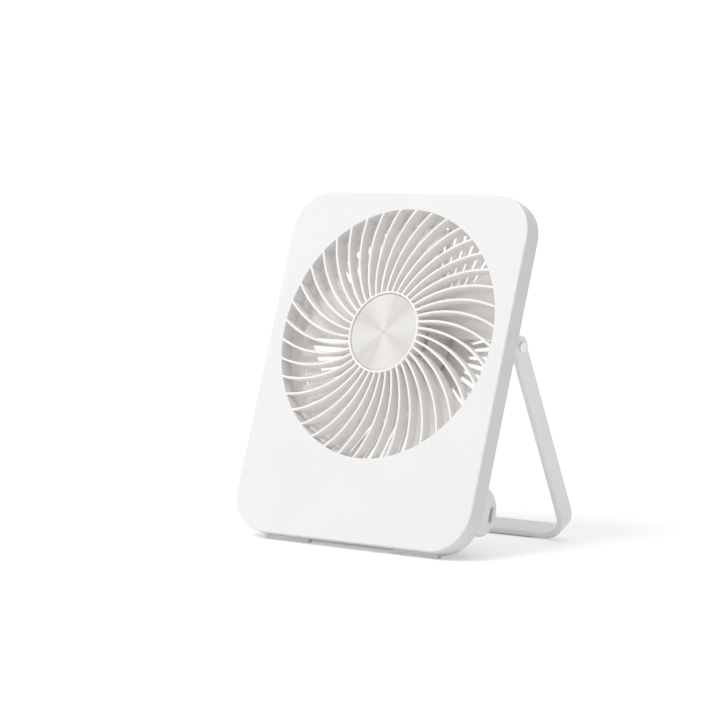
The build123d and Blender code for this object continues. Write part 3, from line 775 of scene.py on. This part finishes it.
@dataclass
class FrontCover:
    """Front moulding: face with its round opening, skirt, duct, spiral fins and hub ring (metres).

    A hold is the distance at which a further row of points keeps the flat beside a round edge flat.
    """

    width: float = 160.6 * MM
    height: float = 198.0 * MM
    depth: float = 11.6 * MM
    corner: float = 23.0 * MM
    corner_steps: int = 20
    outline_step: float = 3.0 * MM
    wall: float = 2.0 * MM
    hold: float = 0.5 * MM
    edge_round: float = 0.83 * MM
    edge_steps: int = 7
    back_round: float = 0.4 * MM
    back_steps: int = 4
    opening: float = 71.0 * MM
    rim_round: float = 0.35 * MM
    rim_steps: int = 5
    duct_wall: float = 1.6 * MM
    duct_back: float = 9.4 * MM
    fin_count: int = 40
    fin_steps: int = 40
    fin_width: float = 1.25 * MM
    fin_back_width: float = 1.05 * MM
    fin_round: float = 0.2 * MM
    fin_round_steps: int = 4
    fin_back: float = 6.5 * MM
    fin_sink: float = 0.02 * MM
    fin_sharp_degrees: float = 50.0
    fin_radii: tuple[float, float, float] = (22.7 * MM, 47.0 * MM, 71.5 * MM)
    fin_turns: tuple[float, float, float] = (0.55, 10.2, 21.5)
    cone_rise: float = 2.0 * MM
    hub_outer: float = 23.3 * MM
    hub_inner: float = 22.1 * MM
    hub_front: float = -2.3 * MM
    hub_round: float = 0.35 * MM
    hub_round_steps: int = 5
    hub_steps: int = 144
    floor_front: float = -0.7 * MM
    floor_back: float = 1.1 * MM

    def outline(self) -> tuple[np.ndarray, np.ndarray]:
        """Rounded rectangle round the face, as points and outward normals.

        A quarter circle at each corner joins straight runs, which are filled in evenly.

        Returns:
            Points and normals, each (count, 2), anticlockwise from the right side.
        """
        steps = self.corner_steps
        points = rounded_section(self.width, self.height, self.corner, steps)
        turn = np.concatenate([np.linspace(k, k + 1, steps) for k in range(4)]) * math.pi / 2
        normals = np.stack([np.cos(turn), np.sin(turn)], axis=-1)
        runs = (self.height - 2 * self.corner, self.width - 2 * self.corner) * 2
        all_points, all_normals = [], []
        for k in range(4):
            corner = slice(k * steps, (k + 1) * steps)
            start, end = points[corner][-1], points[(k + 1) * steps % len(points)]
            count = int(math.ceil(runs[(k + 1) % 2] / self.outline_step))
            part = np.linspace(0.0, 1.0, count + 1)[1:-1, None]
            all_points += [points[corner], start + part * (end - start)]
            all_normals += [normals[corner], np.repeat(normals[corner][-1:], count - 1, axis=0)]
        shift = np.array([0.0, self.height / 2])
        return np.concatenate(all_points) + shift, np.concatenate(all_normals)

    def rows(self) -> tuple[np.ndarray, np.ndarray, np.ndarray]:
        """Section of the moulding from the opening's rim round the skirt and back along the duct.

        Returns:
            For each row: whether it follows the outline, its radius or inset, and its depth.
        """
        rim_out, rim_in = quarter(self.rim_round, self.rim_steps)
        edge_out, edge_in = quarter(self.edge_round, self.edge_steps)
        back_out, back_in = quarter(self.back_round, self.back_steps)
        outer_duct = self.opening + self.duct_wall
        wall_back = self.depth - self.back_round
        rim = [
            np.column_stack([self.opening + rim_out, rim_in]),
            [[self.opening + self.rim_round + self.hold, 0.0]],
        ]
        skirt = [
            [[self.edge_round + self.hold, 0.0]],
            np.column_stack([edge_in, edge_out]),
            [[0.0, self.edge_round + self.hold], [0.0, wall_back - self.hold]],
            np.column_stack([back_out, self.depth - back_in]),
            [[self.wall - self.back_round, self.depth], [self.wall, wall_back]],
            [[self.wall, self.wall]],
        ]
        duct = [
            [[outer_duct, self.wall], [outer_duct, self.duct_back]],
            [[self.opening, self.duct_back]],
        ]
        counts = [sum(len(rows) for rows in part) for part in (rim, skirt, duct)]
        values = np.concatenate(rim + skirt + duct)
        return np.repeat([False, True, False], counts), values[:, 0], values[:, 1]

    def shell(self) -> Piece:
        """Face, skirt and duct: each section row is carried round the opening or the outline.

        A circle row is fan centre + radius times direction; an outline row is outline - inset
        times normal.

        Returns:
            The shell.
        """
        outline, normals = self.outline()
        centre = np.array([0.0, SLAB.fan_up])
        away = outline - centre
        direction = away / np.linalg.norm(away, axis=-1, keepdims=True)
        on_outline, offset, depth = self.rows()
        circle = centre + offset[:, None, None] * direction
        edge = outline - offset[:, None, None] * normals
        flat = np.where(on_outline[:, None, None], edge, circle)
        sheet = SheetMesh()
        sheet.add(SLAB.place(flat[..., 0], flat[..., 1], depth[:, None]), close_rows=True)
        return sheet.make("face_shell")

    def fin_section(self) -> tuple[np.ndarray, np.ndarray, np.ndarray]:
        """Section of a fin: flat flanks, a rounded front edge and a square back.

        Returns:
            Offset across the fin, depth below its front edge, and whether it is on the back.
        """
        out, left = quarter(self.fin_round, self.fin_round_steps)
        half = self.fin_width / 2
        back_half = self.fin_back_width / 2
        across = np.concatenate([[-back_half], -half + out, half - out[::-1], [back_half]])
        below = np.concatenate([[0.0], left, left[::-1], [0.0]])
        on_back = np.zeros(len(across), dtype=bool)
        on_back[[0, -1]] = True
        return across, below, on_back

    def fins(self) -> Piece:
        """Spiral fins: the section is carried along an arc in the face, its front edge on a cone.

        Point = arc + across times the arc's normal; depth = cone(radius) + below, or the fins'
        back. Each further fin is the first turned about the axis by an even share of a full turn.

        Returns:
            All fins as one piece.
        """
        turns, radii = np.radians(self.fin_turns), np.array(self.fin_radii)
        marks = np.stack([radii * np.sin(turns), radii * np.cos(turns)], axis=-1)
        path = ArcThrough(marks).walk(self.fin_steps)
        run = np.gradient(path, axis=0)
        run /= np.linalg.norm(run, axis=-1, keepdims=True)
        side = np.stack([run[:, 1], -run[:, 0]], axis=-1)
        across, below, on_back = self.fin_section()
        flat = path[:, None, :] + across[None, :, None] * side[:, None, :]
        radius = np.linalg.norm(path, axis=-1)
        cone = np.interp(radius, (self.hub_inner, self.opening), (-self.cone_rise, 0.0))
        front = cone[:, None] + self.fin_sink
        depth = np.where(on_back[None, :], self.fin_back, front + below[None, :])
        far = np.linalg.norm(flat, axis=-1)
        turn = np.arctan2(flat[..., 0], flat[..., 1])
        step = np.arange(self.fin_count)[:, None, None] * FULL_TURN / self.fin_count
        sheet = SheetMesh()
        sheet.add_capped(SLAB.round_fan(far[None], turn[None] + step, depth[None]))
        return sheet.make("spiral_fins", self.fin_sharp_degrees)

    def hub(self) -> Piece:
        """Hub ring with its floor: a closed section turned about the fan's axis.

        Returns:
            The ring.
        """
        out, left = quarter(self.hub_round, self.hub_round_steps)
        section = [
            [[0.0, self.floor_back], [self.hub_inner, self.floor_back]],
            [[self.hub_inner, self.fin_back], [self.hub_outer, self.fin_back]],
            [[self.hub_outer, self.hub_front + 2 * self.hub_round]],
            np.column_stack([self.hub_outer - out, self.hub_front + left]),
            np.column_stack([self.hub_inner + left, self.hub_front + out]),
            [[self.hub_inner, self.floor_front], [0.0, self.floor_front]],
        ]
        radius, depth = np.concatenate(section).T
        turn = np.linspace(0.0, FULL_TURN, self.hub_steps, endpoint=False)
        sheet = SheetMesh()
        sheet.add(SLAB.round_fan(radius[:, None], turn[None, :], depth[:, None]))
        return sheet.make("hub_ring")

    def dress(self) -> None:
        """Builds the moulding's pieces and lets them stand for its solid."""
        ride(self.shell(), Body.HOUSING, Look.FACE, "front_cover")
        # the fins and hub ring take the face's white lightened, painted light for the shaded
        # opening
        for piece in (self.fins(), self.hub()):
            ride(piece, Body.HOUSING, Look.FIN_LIGHTENED, "front_cover")


@dataclass
class StandStrap:
    """U of flat strap with a round eye at each end, in the stand's own frame (metres)."""

    pivot_y: float = -0.811279 * MM
    pivot_z: float = 111.076504 * MM
    angle: float = math.radians(26.47604828)
    arm_outer: float = 77.0 * MM
    length: float = 121.0 * MM
    thickness: float = 4.0 * MM
    width: float = 11.0 * MM
    edge: float = 0.8 * MM
    edge_steps: int = 6
    bend: float = 14.0 * MM
    bend_steps: int = 28
    bend_hold: float = 1.0 * MM
    eye: float = 6.2 * MM
    eye_bore: float = 1.55 * MM
    eye_round: float = 0.5 * MM
    eye_round_steps: int = 5
    eye_steps: int = 96
    eye_proud: float = 0.02 * MM

    def place(self, across: Numbers, down: Numbers, back: Numbers) -> np.ndarray:
        """Stand places as world points, with the sine and cosine of the arm's angle.

        Point = pivot + across along X + down (0, sin, -cos) + back (0, cos, sin).

        Args:
            across: distance to the right.
            down: distance down the arm from the pivot.
            back: distance behind the arm's middle.

        Returns:
            Points with a last axis of three.
        """
        across, down, back = np.broadcast_arrays(across, down, back)
        y = self.pivot_y + down * math.sin(self.angle) + back * math.cos(self.angle)
        z = self.pivot_z - down * math.cos(self.angle) + back * math.sin(self.angle)
        return np.stack([across, y, z], axis=-1)

    def arm_middle(self) -> float:
        """Distance from the stand's middle to the middle of an arm's thickness."""
        return self.arm_outer - self.thickness / 2

    def path(self) -> tuple[np.ndarray, np.ndarray]:
        """Middle line of the strap and its outward normals: two arms, two quarter bends, the foot.

        Returns:
            Points (across, down) and normals, from the left eye to the right one.
        """
        middle = self.arm_middle()
        low = self.length - self.thickness / 2
        angle = np.linspace(math.pi, 1.5 * math.pi, self.bend_steps)
        normal = np.stack([np.cos(angle), -np.sin(angle)], axis=-1)
        corner = np.array([-middle + self.bend, low - self.bend]) + self.bend * normal
        arm = [[-middle, self.eye / 2], [-middle, low - self.bend - self.bend_hold]]
        foot = [[-middle + self.bend + self.bend_hold, low]]
        left = np.concatenate([arm, corner, foot])
        left_normal = np.concatenate([normal[:1], normal[:1], normal, normal[-1:]])
        mirror = np.array([-1.0, 1.0])
        whole = (np.concatenate([half, half[::-1] * mirror]) for half in (left, left_normal))
        return tuple(whole)

    def strap(self, sheet: SheetMesh) -> None:
        """Carries a rounded rectangle along the U: path + first times normal, second rearwards.

        Args:
            sheet: mesh to add to.
        """
        path, normal = self.path()
        section = rounded_section(self.thickness, self.width, self.edge, self.edge_steps)
        flat = path[:, None, :] + section[None, :, :1] * normal[:, None, :]
        sheet.add_capped(self.place(flat[..., 0], flat[..., 1], section[None, :, 1]))

    def eyes(self, sheet: SheetMesh) -> None:
        """Adds a bored round eye at each arm's end: a section turned about the hinge's axis.

        Args:
            sheet: mesh to add to.
        """
        half = self.thickness / 2 + self.eye_proud
        size = self.eye - self.eye_bore
        section = rounded_section(size, 2 * half, self.eye_round, self.eye_round_steps)
        radius = section[:, :1] + (self.eye + self.eye_bore) / 2
        turn = np.linspace(0.0, FULL_TURN, self.eye_steps, endpoint=False)[None, :]
        for side in (-1.0, 1.0):
            across = side * self.arm_middle() + section[:, 1:]
            ring = self.place(across, radius * np.cos(turn), radius * np.sin(turn))
            sheet.add(ring, close_rows=True)

    def dress(self) -> None:
        """Builds the strap with its eyes and lets it stand for its solid."""
        sheet = SheetMesh()
        self.strap(sheet)
        self.eyes(sheet)
        ride(sheet.make("stand_strap"), Body.BAIL, Look.STRAP, "stand")


@dataclass
class ScrewSet:
    """Equal cross-head screws that face backwards out of the slab (metres).

    Lengths of the cross are shares of the head's radius, and its depth one of the head's height.
    """

    node: str
    places: tuple[tuple[float, float], ...]
    head_front: float
    head_height: float
    head_radius: float
    shank_radius: float
    shank_front: float
    arm_length: float = 0.62
    arm_width: float = 0.2
    arm_slope: float = 0.08
    sunk: float = 0.6
    sunk_taper: float = 0.5
    crown: float = 0.28
    around: int = 64
    rings: int = 26

    def grids(self) -> tuple[np.ndarray, np.ndarray, np.ndarray]:
        """Head and shank as rows of radius, angle and depth, with a cross sunk into the crown.

        Top depth = back - crown share^2 - sunk cross(x, y), where the cross falls off smoothly
        across its arms and towards their ends.

        Returns:
            Radius, angle and depth grids of one screw.
        """
        angle = np.linspace(0.0, FULL_TURN, self.around, endpoint=False)[None, :]
        share = np.linspace(0.0, 1.0, self.rings)[:, None]
        near = np.minimum(np.abs(share * np.cos(angle)), np.abs(share * np.sin(angle)))
        across_arm = np.clip((self.arm_width - near) / self.arm_slope, 0.0, 1.0)
        along_arm = np.clip((self.arm_length - share) / self.arm_slope, 0.0, 1.0)
        cross = self.sunk * self.head_height * (across_arm * along_arm)
        crown = self.crown * self.head_height * share**2
        back = self.head_front + self.head_height
        top = back - crown - cross * (1.0 - self.sunk_taper * share)
        radii = np.array([self.head_radius, self.shank_radius, self.shank_radius, 0.0])
        depths = np.repeat([self.head_front, self.shank_front], 2)
        radius = np.concatenate([share * self.head_radius, radii[:, None]])
        depth = np.concatenate([top, depths[:, None] * np.ones_like(angle)])
        return tuple(np.broadcast_arrays(radius, angle, depth))

    def dress(self) -> None:
        """Builds all screws of the set and lets them stand for their solids."""
        radius, angle, depth = self.grids()
        place = np.array(self.places)
        across = place[:, 0, None, None] + (radius * np.cos(angle))[None]
        up = place[:, 1, None, None] + (radius * np.sin(angle))[None]
        sheet = SheetMesh()
        sheet.add(SLAB.place(across, up, depth[None]))
        piece = sheet.make(self.node + "_crossed")
        ride(piece, Body.HOUSING, Look.STEEL, self.node)


@dataclass(frozen=True)
class ScrewPlan:
    """Where the screws sit that show from behind, and their sizes (metres)."""

    corner_x: float = 68.0 * MM
    corner_low: float = 10.0 * MM
    corner_high: float = 186.0 * MM
    tab_x: float = 50.0 * MM
    tab_low: float = 11.0 * MM
    tab_high: float = 45.0 * MM
    motor_radius: float = 14.0 * MM
    motor_count: int = 3

    def covers(self) -> ScrewSet:
        """Screws at the slab's four corners, which hold the covers together.

        Returns:
            The set.
        """
        ups, sides = (self.corner_high, self.corner_low), (self.corner_x, -self.corner_x)
        return ScrewSet(
            "cover_screws", tuple((x, y) for y in ups for x in sides),
            head_front=10.6 * MM, head_height=0.9 * MM, head_radius=2.2 * MM,
            shank_radius=1.1 * MM, shank_front=4.0 * MM,
        )

    def barrel(self) -> ScrewSet:
        """Screws in the four tabs of the barrel.

        Returns:
            The set.
        """
        ups, sides = (self.tab_low, self.tab_high), (-self.tab_x, self.tab_x)
        return ScrewSet(
            "battery_cover_screws", tuple((x, y) for x in sides for y in ups),
            head_front=13.2 * MM, head_height=1.2 * MM, head_radius=1.9 * MM,
            shank_radius=0.93 * MM, shank_front=6.1 * MM,
        )

    def motor(self) -> ScrewSet:
        """Screws in a ring round the fan's axis, which hold the motor.

        Returns:
            The set.
        """
        turn = np.arange(self.motor_count) * FULL_TURN / self.motor_count
        across = self.motor_radius * np.cos(turn)
        up = SLAB.fan_up + self.motor_radius * np.sin(turn)
        return ScrewSet(
            "motor_screws", tuple(zip(across.tolist(), up.tolist())),
            head_front=31.5 * MM, head_height=0.9 * MM, head_radius=2.0 * MM,
            shank_radius=0.9 * MM, shank_front=29.3 * MM,
        )

    def dress(self) -> None:
        """Builds the three sets."""
        for screws in (self.covers(), self.barrel(), self.motor()):
            screws.dress()


@dataclass
class SmoothCopy:
    """A solid whose shape is right, shown as a merged copy with smooth curves."""

    node: str
    body: Body
    look: Look
    slot: Slot
    sharp_degrees: float = 28.0

    def dress(self, nodes: dict[str, Piece]) -> None:
        """Copies the solid's mesh, smooths the copy and lets it stand for the solid.

        Args:
            nodes: the loaded solids by name.
        """
        mesh = nodes[self.node].data.copy()
        mesh.materials.clear()
        piece = finished(self.node + "_smooth", mesh, self.sharp_degrees)
        even = piece.modifiers.new("even_normals", "WEIGHTED_NORMAL")
        even.keep_sharp = True
        ride(piece, self.body, self.look, self.node)


SMOOTH_COPIES = (
    # rear cover and barrel take the lightened white, painted light over their shade
    SmoothCopy("rear_cover", Body.HOUSING, Look.BACK, Slot.BACK),
    SmoothCopy("battery_cover", Body.HOUSING, Look.BACK, Slot.BACK, sharp_degrees=50.0),
    SmoothCopy("impeller", Body.ROTOR, Look.BLADE, Slot.FAN),
    SmoothCopy("speed_button", Body.BUTTON, Look.KEY, Slot.BUTTON),
)


def facing(place: Point, aim: Point) -> Quaternion:
    """Turn that points a lamp or camera from its place to its aim, upright."""
    return (Vector(aim) - Vector(place)).to_track_quat("-Z", "Y")


@dataclass(frozen=True)
class SoftLamp:
    """Square soft lamp that faces the fan's middle (metres and watts)."""

    name: str
    place: Point
    size: float
    power: float
    colour: Colour
    aim: Point = (0.0, 0.0, 0.1)

    def hang(self) -> None:
        """Adds the lamp to the scene."""
        data = bpy.data.lights.new(self.name, "AREA")
        data.shape = "SQUARE"
        data.size = self.size
        data.energy = self.power
        data.color = self.colour
        lamp = linked(self.name, data)
        lamp.location = self.place
        lamp.rotation_euler = facing(self.place, self.aim).to_euler()


@dataclass
class Studio:
    """Pale floor that sweeps up behind, soft lamps and the camera of the photograph (metres).

    The lamps are a key from the front left, a weak fill from the right and one above.
    """

    camera_place: Point = (0.875347, -1.186032, 0.213624)
    camera_aim: Point = (-0.0330646, 0.0, 0.0981368)
    camera_roll: float = math.radians(0.5448)
    camera_reach: float = 20.0
    lens: float = 132.8817
    sensor: float = 36.0
    floor_half: float = 12.0
    wall_height: float = 3.0
    sweep_start: float = 1.2
    sweep_radius: float = 1.0
    sweep_steps: int = 24
    sweep_turn: float = math.radians(37.45)
    sweep_sharp_degrees: float = 80.0
    lamps: tuple[SoftLamp, ...] = (
        SoftLamp("key_soft", (-0.5, -1.7, 2.2), 1.3, 34.0, (1.0, 0.985, 0.965)),
        SoftLamp("fill_soft", (1.9, -0.9, 0.9), 1.4, 0.6, (0.98, 0.98, 1.0)),
        SoftLamp("top_soft", (0.2, 0.5, 2.2), 1.4, 6.0, (1.0, 1.0, 1.0)),
    )
    sky_colour: Colour = (0.96, 0.965, 1.0)
    sky_middle: float = 0.52
    sky_slope: float = 0.22

    def camera(self) -> None:
        """Camera at the photograph's angle: it looks at the aim, then turns by the roll."""
        data = bpy.data.cameras.new("photo_camera")
        data.lens = self.lens
        data.sensor_width = self.sensor
        data.clip_end = self.camera_reach
        camera = linked("photo_camera", data)
        look = facing(self.camera_place, self.camera_aim).to_matrix().to_4x4()
        roll = Matrix.Rotation(self.camera_roll, 4, "Z")
        camera.matrix_world = Matrix.Translation(self.camera_place) @ look @ roll
        bpy.context.scene.camera = camera

    def sweep(self) -> None:
        """Floor that turns up into a backdrop: a line, a quarter circle and a line, carried across.

        The whole is turned about the upright axis, to lie square to the camera's view.
        """
        angle = np.linspace(0.0, math.pi / 2, self.sweep_steps)
        bend = self.sweep_start + self.sweep_radius * np.sin(angle)
        rise = self.sweep_radius * (1.0 - np.cos(angle))
        back = np.concatenate([[-self.floor_half], bend, bend[-1:]])[:, None]
        up = np.concatenate([[0.0], rise, [self.wall_height]])[:, None]
        across = np.array([[-self.floor_half, self.floor_half]])
        x, y, z = np.broadcast_arrays(across, back, up)
        cos, sin = math.cos(self.sweep_turn), math.sin(self.sweep_turn)
        sheet = SheetMesh()
        sheet.add(np.stack([x * cos - y * sin, x * sin + y * cos, z], -1), close_columns=False)
        floor = sheet.make("studio_sweep", self.sweep_sharp_degrees)
        floor.data.materials.append(material_of(Look.FLOOR))

    def sky(self) -> None:
        """Soft sky, brighter in front: strength = middle - slope times the direction's y."""
        world = bpy.data.worlds.new("studio_sky")
        world.use_nodes = True
        tree = world.node_tree
        background = tree.nodes["Background"]
        background.inputs["Color"].default_value = (*self.sky_colour, 1.0)
        direction = tree.nodes.new("ShaderNodeTexCoord")
        parts = tree.nodes.new("ShaderNodeSeparateXYZ")
        strength = tree.nodes.new("ShaderNodeMath")
        strength.operation = "MULTIPLY_ADD"
        strength.inputs[1].default_value = -self.sky_slope
        strength.inputs[2].default_value = self.sky_middle
        tree.links.new(direction.outputs["Generated"], parts.inputs[0])
        tree.links.new(parts.outputs["Y"], strength.inputs[0])
        tree.links.new(strength.outputs[0], background.inputs["Strength"])
        bpy.context.scene.world = world

    def set_up(self) -> None:
        """Builds the studio and leaves colours as they are written."""
        self.camera()
        self.sweep()
        for lamp in self.lamps:
            lamp.hang()
        self.sky()
        bpy.context.scene.view_settings.view_transform = "Standard"


def main() -> None:
    """Loads the solids, dresses them piece by piece and sets up the studio."""
    logging.basicConfig(level=logging.INFO, format="%(name)s: %(message)s")
    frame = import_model()
    nodes = frame["nodes"]
    for node, look in SOLID_LOOKS.items():
        dress_solid(nodes[node], look)
    FrontCover().dress()
    StandStrap().dress()
    ScrewPlan().dress()
    for copy in SMOOTH_COPIES:
        copy.dress(nodes)
    Studio().set_up()


if __name__ == "__main__":
    main()
